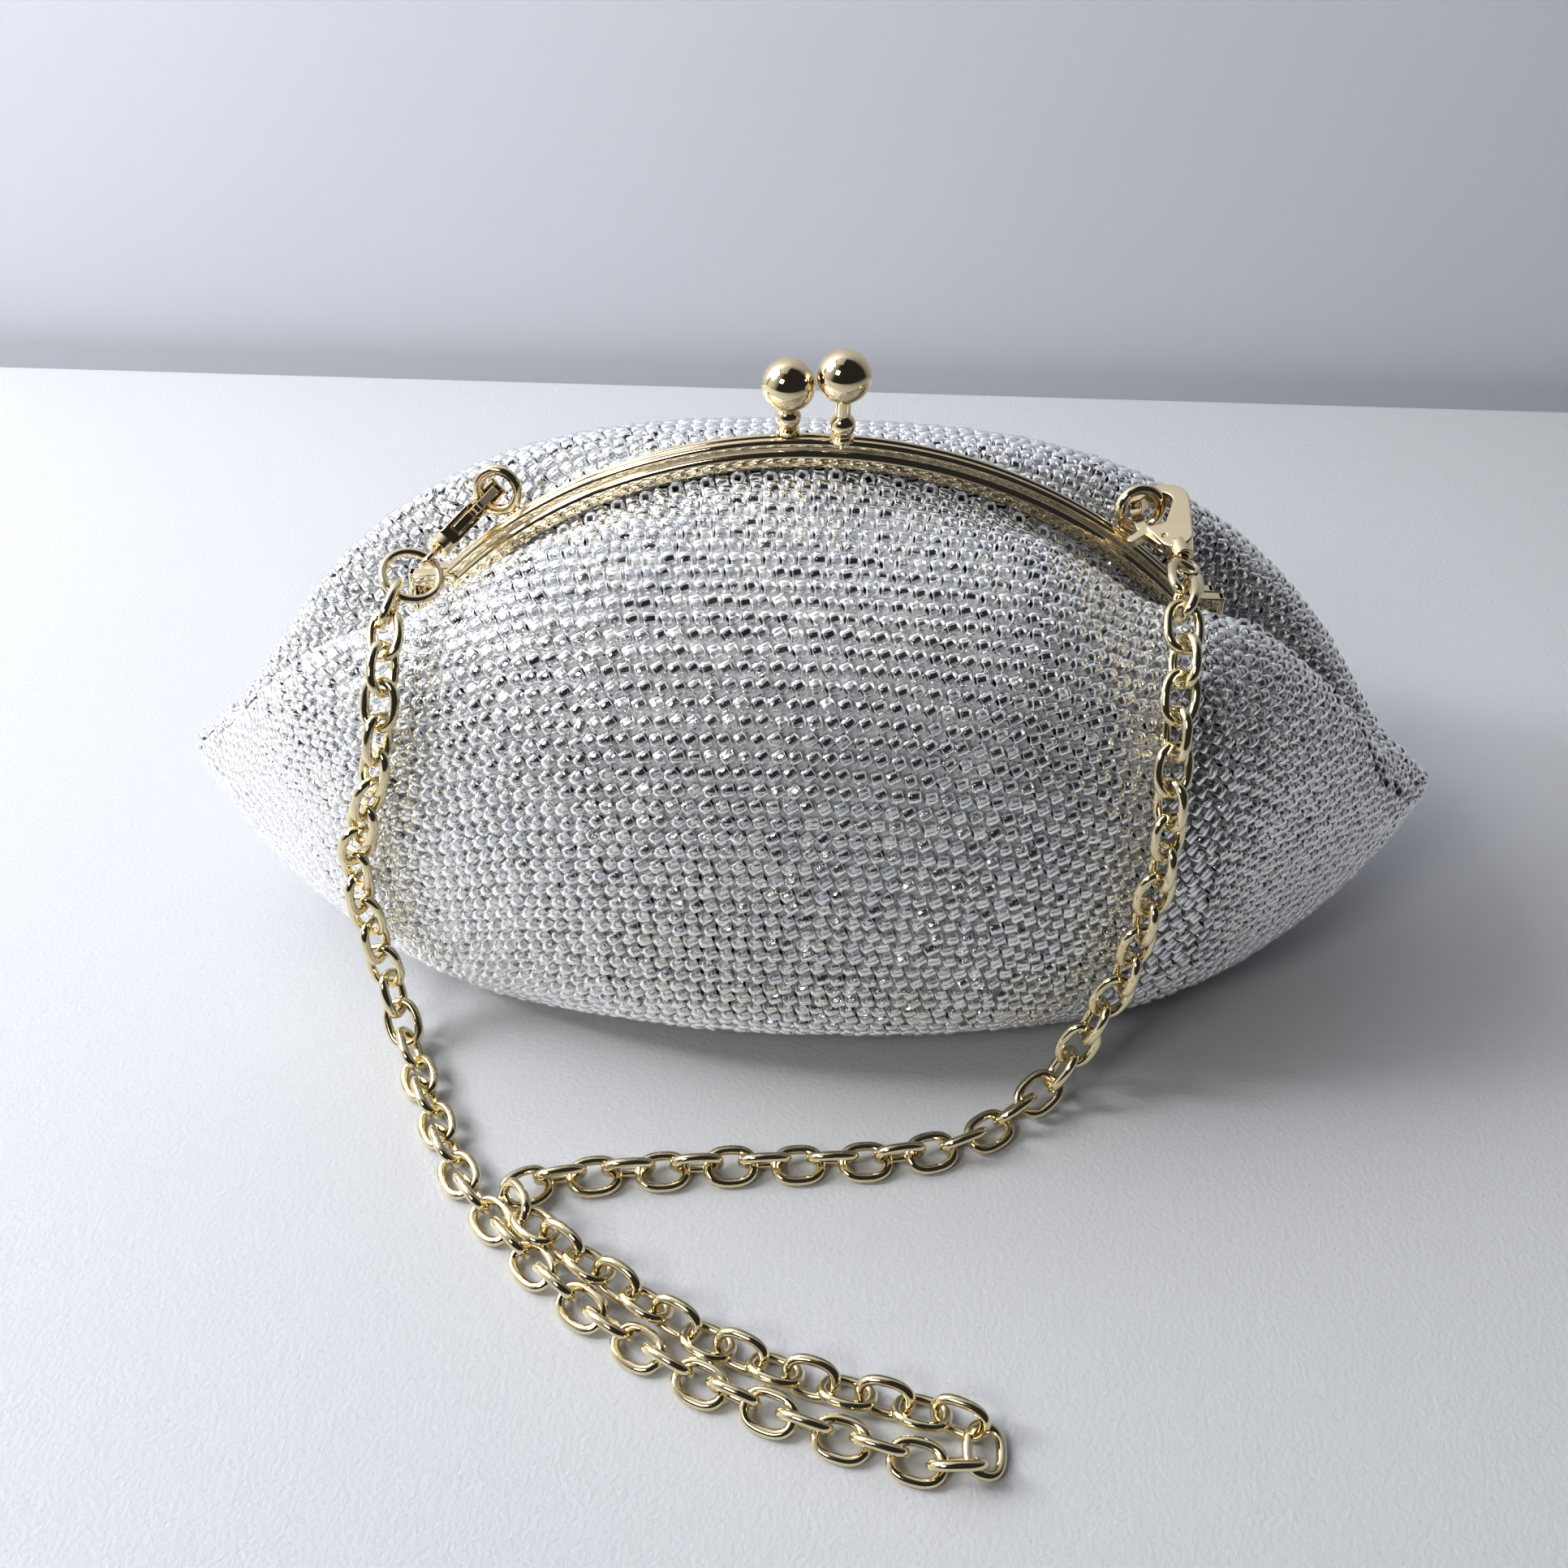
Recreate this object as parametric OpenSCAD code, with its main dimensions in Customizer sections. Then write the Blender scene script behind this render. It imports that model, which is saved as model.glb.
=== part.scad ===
// Beaded evening bag on a kiss-lock metal frame, with a detachable cable chain.
// Millimetres. Origin: centre of the bottom, on the surface it stands on.
// +X is the bag's right seen from the front, -Y is the front, +Z is up.

/* [Pouch] */
// Width of the pouch over its two side points
bag_w = 262; // [200:2:320]
// Height of the pouch at the middle, without the frame
bag_h = 107.5; // [80:0.5:140]
// Depth of the filled pouch from front to back
bag_d = 120; // [80:2:150]
// Height of the two side points above the table
tip_h = 38; // [20:1:60]
// Thickness of the beaded fabric
fabric_t = 3.2; // [2:0.1:5]
// Thickness of the satin lining
lining_t = 0.7; // [0.4:0.1:1.5]

/* [Frame] */
// Radius of the arched frame, to its outer edge
arc_r = 100; // [80:1:130]
// Height of the arch centre above the table
arc_z = 15; // [0:1:40]
// Half angle of the arch
arc_a = 47; // [35:1:55]
// Thickness of one frame channel, front to back
bar_t = 2.5; // [2:0.1:4]
// Height of one frame channel
bar_h = 5.5; // [4:0.1:8]
// Width of the slot that takes the fabric edge
slot_w = 1.3; // [0.8:0.1:2]
// Height of the hinge line
hinge_z = 77.3; // [60:0.5:90]
// Radius of the hinge rivet
rivet_r = 1.0; // [0.8:0.1:1.5]

/* [Knobs] */
// Radius of each closing ball
ball_r = 4.95; // [3:0.05:6]
// Radius of the small ball on each stem
bead_r = 2.4; // [1.5:0.1:3]
// Radius of the stem
stem_r = 1.4; // [0.8:0.1:2]

/* [Rings] */
// Centre-line radius of the loop rings on the frame
loop_r = 3.95; // [3:0.05:6]
// Wire radius of the loop rings
loop_w = 1.05; // [0.7:0.05:1.5]
// Centre-line radius of the left jump ring
jump_r = 5.25; // [4:0.05:8]
// Wire radius of the left jump ring
jump_w = 0.85; // [0.6:0.05:1.2]

/* [Clasps] */
// Thickness of the clasp body
clasp_t = 3.0; // [2:0.1:4]
// Width of the slot for the lever
clasp_slot = 1.7; // [1:0.1:2.2]
// Thickness of the lever
lever_t = 1.3; // [0.8:0.1:1.8]

/* [Chain] */
// Diameter of the plain cord solid that stands in for the chain
chain_d = 3.2; // [2:0.1:6]

/* [Hidden] */
half_w = bag_w/2;
hx = 78;
g = 0.1;
gold = [0.83, 0.70, 0.44];
gold2 = [0.78, 0.64, 0.38];
glass = [0.86, 0.87, 0.89];
satin = [0.72, 0.72, 0.74];

// ---- pouch form -------------------------------------------------
function pw(c, p) = c < 0 ? -pow(-c, p) : pow(c, p);
function clamp0(v) = max(0, v);
// ridge height, belly, underside and fold depth at share u of the half width
function ridge(u) = tip_h + (bag_h - tip_h)*pow(clamp0(1 - pow(u, 3.1)), 0.9);
function under(u) = 34*pow(clamp0((u - 0.45)/0.55), 2.0);
function belly(u) = (bag_d/2)*pow(clamp0(1 - pow(u, 2.2)), 0.85);
function arch(x) = arc_z + sqrt(clamp0(pow(arc_r - bar_h - 0.35, 2) - x*x));
fold0 = ridge(hx/half_w) - arch(hx);
function fold(x) = abs(x) <= hx ? ridge(abs(x)/half_w) - arch(x)
    : fold0*pow(clamp0(1 - (abs(x) - hx)/(half_w - hx)), 0.8);
function dent(x, y) = 6.2*exp(-pow((abs(x) - 74)/17, 2) - pow((y + 21)/13, 2));
// one point of the section at x, at angle a, moved inwards by t
function pouch_pt(x, a, t) =
    let (u = min(1, abs(x)/half_w), zt = ridge(u) - t, zb = under(u) + t,
         zc = zb + (zt - zb)*0.41, c = cos(a), s = sin(a),
         d = max(0.6, belly(u) - t),
         y = d*pw(c, s >= 0 ? 2/2.5 : 2/3.8),
         f = exp(-pow(clamp0(abs(y) - 3.4 - 0.8*t)/9, 2)))
    [x, y, s >= 0 ? zc + (zt - zc)*pow(s, 2/2.5) - fold(x)*f - dent(x, y)
                  : zc - (zc - zb)*min(1, 1.017*pow(-s, 2/3.8))];
half_a = [-90, -76, -62, -50, -38, -20, 0, 20, 36, 50, 62, 71, 77.5, 83, 88, 90];
loop_a = concat(half_a, [for (i = [len(half_a) - 2:-1:1]) 180 - half_a[i]]);

module pouch_form(t, n, angles, reach) {
    m = len(angles);
    xs = [for (i = [0:n]) reach*sin(-84 + 168*i/n)/sin(84)];
    pts = [for (x = xs) for (a = angles) pouch_pt(x, a, t)];
    polyhedron(
        points = pts,
        faces = concat(
            [for (i = [0:n - 1]) for (j = [0:m - 1]) let (k = (j + 1) % m)
                [i*m + j, (i + 1)*m + k, i*m + k]],
            [for (i = [0:n - 1]) for (j = [0:m - 1]) let (k = (j + 1) % m)
                [i*m + j, (i + 1)*m + j, (i + 1)*m + k]],
            [[for (j = [0:m - 1]) j]],
            [[for (j = [m - 1:-1:0]) n*m + j]]),
        convexity = 8);
}

module mouth_cut() translate([-75.5, -2.3, 60]) cube([151, 4.6, 70]);

module pouch() color(glass) difference() {
    pouch_form(0, 30, loop_a, half_w - 0.5);
    pouch_form(fabric_t, 26, loop_a, half_w - 10);
    mouth_cut();
}

// slot of the lining, with round ends, in short runs along the mouth
module lining_cut() for (i = [0:9]) hull() for (k = [0, 1])
    translate([-73 + 14.6*(i + k), 0, 60]) cylinder(r = 2.9, h = 70, $fn = 16);

module lining() color(satin) difference() {
    pouch_form(fabric_t + 0.7, 26, loop_a, half_w - 10.8);
    pouch_form(fabric_t + 0.7 + lining_t, 26, loop_a, half_w - 12.4);
    lining_cut();
}

// ---- frame ------------------------------------------------------
// a band of the arch between two radii, y0 to y1, half angle a
module arc_band(r0, r1, y0, y1, a) translate([0, 0, arc_z]) rotate([90, 0, 0])
    rotate([0, 0, 90 - a]) rotate_extrude(angle = 2*a, $fn = 120)
        translate([r0, -y1]) square([r1 - r0, y1 - y0]);

// one channel with rounded shoulders; s = -1 front, 1 back
module channel(s) {
    translate([0, 0, arc_z]) rotate([90, 0, 0]) rotate([0, 0, 90 - arc_a])
        rotate_extrude(angle = 2*arc_a, $fn = 120)
            translate([arc_r - bar_h, -s*(g + bar_t/2)]) difference() {
                union() {
                    translate([0, -bar_t/2]) square([bar_h - 0.8, bar_t]);
                    translate([bar_h - 1.6, 0.8 - bar_t/2]) square([1.6, bar_t - 1.6]);
                    for (k = [-1, 1]) translate([bar_h - 0.8, k*(bar_t/2 - 0.8)]) circle(r = 0.8, $fn = 24);
                }
                translate([-1, -slot_w/2]) square([bar_h - 0.4, slot_w]);
            }
}

// a plate in the plane of the hinge, from x0 outwards, s = -1 front, 1 back
module lug(s, x0, w, top) {
    rotate([0, 90, 0]) translate([-hinge_z, 0, x0]) cylinder(r = 3.4, h = w, $fn = 40);
    translate([x0, s < 0 ? -g - bar_t : g, hinge_z]) cube([w, bar_t, top - hinge_z]);
}

module frame_half(s) {
    x0 = s < 0 ? 78.5 : 76.9;
    w = 1.3;
    difference() {
        union() {
            channel(s);
            for (m = [0, 1]) mirror([m, 0, 0]) {
                lug(s, x0, w, 83.6);
                translate([70.6, s < 0 ? -g - bar_t : g, 80.9]) cube([x0 + w - 70.6, bar_t, 2.7]);
            }
        }
        for (m = [0, 1]) mirror([m, 0, 0])
            rotate([0, 90, 0]) translate([-hinge_z, 0, 70])
                cylinder(r = rivet_r + (s < 0 ? 0.05 : 0.02), h = 12, $fn = 40);
        // seat of the knob's rivet end
        translate([s < 0 ? 4.1 : -5.9, s*(g + bar_t/2), 112]) cylinder(r = 0.62, h = 6, $fn = 24);
        // seats of the loop rings' pegs
        if (s > 0) for (m = [-1, 1]) loop_frame(m) translate([0, 0, -3]) cylinder(r = 0.62, h = 5, $fn = 24);
    }
}

module front_frame() color(gold) frame_half(-1);
module back_frame() color(gold) frame_half(1);

module front_edge_strip() color(satin)
    arc_band(arc_r - bar_h + 0.1, arc_r - 1.9, -g - bar_t/2 - 0.5, -g - bar_t/2 + 0.5, arc_a - 1);
module back_edge_strip() color(satin)
    arc_band(arc_r - bar_h + 0.1, arc_r - 1.9, g + bar_t/2 - 0.5, g + bar_t/2 + 0.5, arc_a - 1);

module hinge_rivets() color(gold2) for (m = [0, 1]) mirror([m, 0, 0])
    rotate([0, 90, 0]) translate([-hinge_z, 0, 0]) {
        translate([0, 0, 76.0]) cylinder(r = 1.8, h = 0.8, $fn = 32);
        translate([0, 0, 76.7]) cylinder(r = rivet_r, h = 3.3, $fn = 32);
        translate([0, 0, 79.9]) cylinder(r1 = 1.9, r2 = 1.3, h = 0.8, $fn = 32);
    }

// ---- knobs ------------------------------------------------------
module knob(x, y, tilt, zb, zs) {
    translate([x, y, 113.4]) cylinder(r = 0.6, h = 2, $fn = 24);
    translate([x, y, 115.06]) cylinder(r = 2.2, h = 0.7, $fn = 32);
    translate([x, y, 115.5]) cylinder(r = 1.7, h = 0.8, $fn = 32);
    translate([x, y, 115]) rotate([tilt, 0, 0]) {
        translate([0, 0, zs - 115]) sphere(r = bead_r, $fn = 24);
        translate([0, 0, 1]) cylinder(r = stem_r, h = zb - 116, $fn = 32);
        translate([0, 0, zb - 115]) sphere(r = ball_r, $fn = 30);
    }
}
module front_knob() color(gold) knob(4.1, -g - bar_t/2, -4, 127.3, 118.0);
module back_knob() color(gold) knob(-5.9, g + bar_t/2, 5, 124.8, 118.1);

// ---- loop rings -------------------------------------------------
loop_a0 = asin(61.5/105);
// frame of a loop ring's foot: local Z is radial, s = -1 left, 1 right
module loop_frame(s) translate([0, g + bar_t/2, arc_z]) rotate([0, s*loop_a0, 0]) translate([0, 0, arc_r]) children();
module torus(R, r, n = 40) rotate_extrude($fn = n) translate([R, 0]) circle(r = r, $fn = 16);
module loop_ring(s) loop_frame(s) {
    translate([0, 0, -1.6]) cylinder(r = 0.6, h = 2.3, $fn = 24);
    rotate([-15, 0, 0]) translate([0, 0, loop_r + loop_w + 0.03]) rotate([90, 0, 0]) torus(loop_r, loop_w);
}
module left_loop_ring() color(gold2) loop_ring(-1);
module right_loop_ring() color(gold2) loop_ring(1);

// ---- clasps -----------------------------------------------------
// clasp axes: local X to the hook's back, Y from the base to the tip
ly = [0.443, 0.880, 0.175];
lbase = [-70.65, -10.87, 95.3];
ry = [-0.160, 0.974, 0.155];
rbase = [67.2, -11.24, 98.0];
function unit(v) = v/norm(v);
// side direction: what is left of c once its part along y is taken out
function side(c, y) = -unit(c - (c*y)*y);
lx = side([0.195, -0.847, 0.497], unit(ly));
rx = -side([0.95, 0.22, 0.27], unit(ry));
module axes(o, x, y) let (yy = unit(y), xx = unit(x), zz = cross(xx, yy))
    multmatrix([[xx[0], yy[0], zz[0], o[0]], [xx[1], yy[1], zz[1], o[1]], [xx[2], yy[2], zz[2], o[2]], [0, 0, 0, 1]]) children();

pv = [-1.1, 5.0];
module disc(p, r) translate(p) circle(r = r, $fn = 36);
module flat(t) translate([0, 0, -t/2]) linear_extrude(t) children();

module clasp_outline() difference() {
    hull() { disc([0.1, 14.0], 4.9); disc([0.6, 4.2], 2.6); }
    hull() { disc([-0.3, 14.3], 2.7); disc([-0.9, 9.4], 1.1); }
    translate([-8, 8.4]) square([6.2, 7.5]);
}
module clasp_body() difference() {
    union() {
        flat(clasp_t) clasp_outline();
        translate([0.6, -0.2, 0]) rotate([-90, 0, 0]) cylinder(r = 1.7, h = 3.5, $fn = 32);
    }
    // slot for the lever and its spring
    flat(clasp_slot) translate([-6, 3.6]) square([8.4, 5.2]);
    translate([pv[0], pv[1], -3]) cylinder(r = 0.47, h = 6, $fn = 24);
    translate([0.6, -1, 0]) rotate([-90, 0, 0]) cylinder(r = 0.8, h = 3.5, $fn = 32);
    translate([0.6, 1.7, 0]) rotate([-90, 0, 0]) cylinder(r = 1.25, h = 1.4, $fn = 32);
}
module lever() difference() {
    flat(lever_t) union() {
        hull() { disc(pv, 1.3); disc([-3.75, 10], 0.9); }
        hull() { disc([-3.75, 10], 0.9); disc([-3.75, 14.7], 0.8); }
        hull() { disc([-3.6, 8.6], 0.9); disc([-5.9, 7.4], 0.8); }
    }
    translate([pv[0], pv[1], -3]) cylinder(r = 0.5, h = 6, $fn = 24);
}
module lever_pin() translate([pv[0], pv[1], -clasp_t/2 - 0.15]) cylinder(r = 0.44, h = clasp_t + 0.3, $fn = 24);
module lever_spring() for (k = [-1, 1]) translate([1.5, 5.9, k*0.35]) torus(0.5, 0.2, 16);
module swivel_eye(turn) translate([0.6, 0, 0]) rotate([0, turn, 0]) {
    translate([0, 1.85, 0]) rotate([-90, 0, 0]) cylinder(r = 1.15, h = 1.1, $fn = 32);
    translate([0, -1.4, 0]) rotate([-90, 0, 0]) cylinder(r = 0.75, h = 3.6, $fn = 32);
    translate([0, -3.1, 0]) torus(1.8, 0.62, 28);
}
module left_at() axes(lbase, lx, ly) children();
module right_at() axes(rbase, rx, ry) children();

module left_clasp_body() color(gold) left_at() clasp_body();
module left_lever() color(gold2) left_at() lever();
module left_lever_pin() color(gold2) left_at() lever_pin();
module left_lever_spring() color([0.7, 0.7, 0.7]) left_at() lever_spring();
module left_swivel_eye() color(gold) left_at() swivel_eye(0);
module right_clasp_body() color(gold) right_at() clasp_body();
module right_lever() color(gold2) right_at() lever();
module right_lever_pin() color(gold2) right_at() lever_pin();
module right_lever_spring() color([0.7, 0.7, 0.7]) right_at() lever_spring();
module right_swivel_eye() color(gold) right_at() swivel_eye(20);

// jump ring: hangs in the left eye, its plane turned to the front
jump_c = lbase + lx*0.6 - unit(ly)*(3.1 + jump_r);
module jump_ring() color(gold) axes(jump_c, unit(cross(unit(ly), [0.15, -0.62, 0.77])), ly) torus(jump_r, jump_w);

// ---- chain ------------------------------------------------------
// route of the chain: left ring, down the front, out over the table, a
// doubled run back, and up the front to the right eye
chain_pts = [
    [-78, -27, 90], [-77.5, -31.5, 87.5], [-77.5, -36, 84], [-78, -39.5, 79], [-79, -42.5, 70.5],
    [-81.5, -44, 61], [-85.5, -43.5, 49], [-87, -43, 38.5], [-86.5, -43, 29], [-85, -44, 20],
    [-83, -46.5, 11], [-80, -52, 4], [-75.5, -62, 2.5], [-64.5, -83, 2.5], [-55, -95, 2.5],
    [-40, -109.5, 2.5], [-19.5, -123, 2.5], [-1.5, -131, 2.5], [15, -136, 2.5], [25.5, -138.6, 2.5],
    [30.5, -138.2, 2.5], [32.8, -135, 2.5], [29.5, -131, 2.5], [16.5, -127.6, 2.5], [4, -124.4, 2.5],
    [-7.5, -120.4, 2.6], [-19.5, -114.8, 3.2], [-31.5, -107.6, 4.2], [-43, -99.8, 5.2], [-50, -94.2, 5],
    [-52.6, -90.4, 4.2], [-50, -86.8, 3.2], [-41, -83.8, 2.6], [-23, -81.2, 2.5], [3, -78.5, 2.5],
    [20, -76.5, 2.5], [33, -72, 2.5], [44, -64, 3.5], [50, -59.5, 7], [54, -57.5, 14],
    [58, -55.5, 23], [61.5, -54, 31.5], [64, -52.7, 50], [65, -51.5, 61], [64.5, -49.5, 71],
    [64.5, -47, 76.5], [64.5, -43.5, 83.5], [65, -39.5, 88.5], [65.5, -36, 92], [65.5, -31, 95.5],
    [66, -27, 97.3]];
function tangent(p, i) = unit(p[min(len(p) - 1, i + 1)] - p[max(0, i - 1)]);
module tube(p, r, m = 8) {
    n = len(p);
    pts = [for (i = [0:n - 1]) let (t = tangent(p, i),
        a = unit(cross(t, abs(t[2]) > 0.8 ? [1, 0, 0] : [0, 0, 1])), b = cross(t, a))
        for (j = [0:m - 1]) p[i] + r*cos(360*j/m)*a + r*sin(360*j/m)*b];
    polyhedron(points = pts, faces = concat(
        [for (i = [0:n - 2]) for (j = [0:m - 1]) let (k = (j + 1) % m)
            [i*m + j, (i + 1)*m + j, (i + 1)*m + k, i*m + k]],
        [[for (j = [0:m - 1]) j]], [[for (j = [m - 1:-1:0]) (n - 1)*m + j]]), convexity = 10);
}
module chain() color(gold) tube(chain_pts, chain_d/2);

pouch();
lining();
front_frame();
back_frame();
front_edge_strip();
back_edge_strip();
hinge_rivets();
front_knob();
back_knob();
left_loop_ring();
right_loop_ring();
left_clasp_body();
left_lever();
left_lever_pin();
left_lever_spring();
left_swivel_eye();
right_clasp_body();
right_lever();
right_lever_pin();
right_lever_spring();
right_swivel_eye();
jump_ring();
chain();
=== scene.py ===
import math

import bpy
import numpy as np
from mathutils import Matrix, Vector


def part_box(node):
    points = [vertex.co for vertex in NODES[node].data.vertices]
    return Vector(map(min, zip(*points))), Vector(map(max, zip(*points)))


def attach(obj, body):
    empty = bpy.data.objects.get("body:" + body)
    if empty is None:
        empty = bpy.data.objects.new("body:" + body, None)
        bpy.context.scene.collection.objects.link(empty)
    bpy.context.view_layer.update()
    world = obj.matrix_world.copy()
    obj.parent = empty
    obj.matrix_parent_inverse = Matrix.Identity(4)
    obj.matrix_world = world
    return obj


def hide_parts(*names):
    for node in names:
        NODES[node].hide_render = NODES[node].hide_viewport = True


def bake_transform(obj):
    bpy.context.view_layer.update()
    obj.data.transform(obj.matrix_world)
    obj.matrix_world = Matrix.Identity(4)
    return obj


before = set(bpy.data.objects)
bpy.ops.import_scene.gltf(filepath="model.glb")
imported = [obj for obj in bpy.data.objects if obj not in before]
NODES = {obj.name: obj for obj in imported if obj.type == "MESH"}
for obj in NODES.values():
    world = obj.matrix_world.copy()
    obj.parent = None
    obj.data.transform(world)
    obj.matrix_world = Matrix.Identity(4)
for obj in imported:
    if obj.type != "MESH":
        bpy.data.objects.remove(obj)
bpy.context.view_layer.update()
rng = np.random.default_rng(11)
MM = 0.001

# ------------------------------------------------------------------ camera
EL, ROLL, YAW = math.radians(40.0), math.radians(1.1), math.radians(1.2)
fwd = np.array([-math.sin(YAW) * math.cos(EL), math.cos(YAW) * math.cos(EL), -math.sin(EL)])
right = np.array([math.cos(YAW), math.sin(YAW), 0.0])
up = np.cross(right, fwd)
r2 = right * math.cos(ROLL) + up * math.sin(ROLL)
u2 = -right * math.sin(ROLL) + up * math.cos(ROLL)
cam_data = bpy.data.cameras.new("camera")
cam_data.sensor_fit = "HORIZONTAL"
cam_data.sensor_width = 36.0
cam_data.lens = 38.81
cam_data.clip_start = 0.01
cam_data.clip_end = 20.0
cam_data.dof.use_dof = False
cam = bpy.data.objects.new("camera", cam_data)
bpy.context.scene.collection.objects.link(cam)
m = Matrix.Identity(4)
for i in range(3):
    m[i][0], m[i][1], m[i][2] = r2[i], u2[i], -fwd[i]
m[0][3], m[1][3], m[2][3] = 0.0005, -0.280, 0.266
cam.matrix_world = m
bpy.context.scene.camera = cam


# ------------------------------------------------------------------ mesh tools
def add_mesh(name, verts, faces, mats, mat_index=None, smooth=True, sharp=None):
    """A mesh object from arrays. faces is a list of (k-sided) index arrays, each of shape (n, k)."""
    me = bpy.data.meshes.new(name)
    verts = np.asarray(verts, np.float32)
    me.vertices.add(len(verts))
    me.vertices.foreach_set("co", verts.ravel())
    loops = np.concatenate([np.asarray(f, np.int32).ravel() for f in faces])
    sizes = np.concatenate([np.full(len(f), np.asarray(f).shape[1], np.int32) for f in faces])
    starts = np.concatenate([[0], np.cumsum(sizes)[:-1]]).astype(np.int32)
    me.loops.add(len(loops))
    me.loops.foreach_set("vertex_index", loops)
    me.polygons.add(len(sizes))
    me.polygons.foreach_set("loop_start", starts)
    me.polygons.foreach_set("loop_total", sizes)
    if mat_index is not None:
        me.polygons.foreach_set("material_index", np.asarray(mat_index, np.int32))
    me.polygons.foreach_set("use_smooth", np.full(len(sizes), bool(smooth)))
    me.update(calc_edges=True)
    me.validate()
    for mt in mats:
        me.materials.append(mt)
    if sharp is not None:
        ed = np.zeros(len(me.edges) * 2, np.int32)
        me.edges.foreach_get("vertices", ed)
        flags = sharp(ed.reshape(-1, 2))
        at = me.attributes.get("sharp_edge") or me.attributes.new("sharp_edge", "BOOLEAN", "EDGE")
        at.data.foreach_set("value", flags)
    ob = bpy.data.objects.new(name, me)
    bpy.context.scene.collection.objects.link(ob)
    return ob


def vertex_value(ob, name, values):
    at = ob.data.attributes.new(name, "FLOAT", "POINT")
    at.data.foreach_set("value", np.asarray(values, np.float32))


def unit(v):
    return v / np.maximum(np.linalg.norm(v, axis=-1, keepdims=True), 1e-12)


# ------------------------------------------------------------------ pouch form
HW, TIP, BAG_H, BAG_D, ARC_R, ARC_Z, BAR_H, HX = 131.0, 38.0, 107.5, 120.0, 100.0, 15.0, 5.5, 78.0


def c0(v):
    return np.maximum(v, 0.0)


def ridge(u):
    return TIP + (BAG_H - TIP) * c0(1 - u**3.1) ** 0.9


def under(u):
    return 34.0 * c0((u - 0.45) / 0.55) ** 2


def belly(u):
    return BAG_D / 2 * c0(1 - u**2.2) ** 0.85


def arch(x):
    return ARC_Z + np.sqrt(c0((ARC_R - BAR_H - 0.35) ** 2 - x * x))


FOLD0 = ridge(HX / HW) - arch(HX)


def fold(x):
    ax = np.abs(x)
    return np.where(ax <= HX, ridge(ax / HW) - arch(np.minimum(ax, HX)), FOLD0 * c0(1 - (ax - HX) / (HW - HX)) ** 0.8)


def relief(x, y):
    """What the front cloth loses under the clasps, less where it stands up over the right hinge."""
    mid, wide = np.where(x > 0, 61.0, 74.0), np.where(x > 0, 13.0, 17.0)
    low = 6.2 * np.exp(-(((np.abs(x) - mid) / wide) ** 2) - ((y + 21) / 13) ** 2)
    high = 4.6 * np.exp(-(((x - 81) / 9) ** 2) - ((y + 11) / 6) ** 2)
    return low - high


def groove(x, y):
    """The crease of the side between hinge and tip."""
    ax = np.abs(x)
    t0, t1 = np.clip((ax - 77) / 12, 0, 1), np.clip((ax - 110) / 18, 0, 1)
    return 5.0 * t0 * t0 * (3 - 2 * t0) * (1 - t1 * t1 * (3 - 2 * t1)) * np.exp(-((y / 6.5) ** 2))


def pouch(x, a, t=0.0, front=True):
    """Point of the pouch's section at x and angle a in degrees, t mm inside the outer surface. Front is a = 90..270."""
    x, a = np.broadcast_arrays(np.asarray(x, float), np.asarray(a, float))
    u = np.minimum(1.0, np.abs(x) / HW)
    zt, zb = ridge(u) - t, under(u) + t
    zc = zb + (zt - zb) * 0.41
    c, s = np.cos(np.radians(a)), np.sin(np.radians(a))
    d = np.maximum(0.6, belly(u) - t)
    y = d * np.sign(c) * np.abs(c) ** np.where(s >= 0, 2 / 2.5, 2 / 3.8)
    f = np.exp(-((c0(np.abs(y) - 3.4 - 0.8 * t) / 9) ** 2))
    ztop = zc + (zt - zc) * c0(s) ** 0.8 - fold(x) * f - groove(x, y) - (relief(x, y) if front else 0)
    zlow = zc - (zc - zb) * np.minimum(1.0, 1.017 * c0(-s) ** (2 / 3.8))
    return np.stack([x, y, np.where(s >= 0, ztop, zlow)], -1)


# ------------------------------------------------------------------ materials
def material(name):
    mt = bpy.data.materials.new(name)
    mt.use_nodes = True
    nt = mt.node_tree
    nt.nodes.clear()
    out = nt.nodes.new("ShaderNodeOutputMaterial")
    return mt, nt, out


def node(nt, kind, **inputs):
    n = nt.nodes.new(kind)
    for k, v in inputs.items():
        n.inputs[k.replace("_", " ")].default_value = v
    return n


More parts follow.
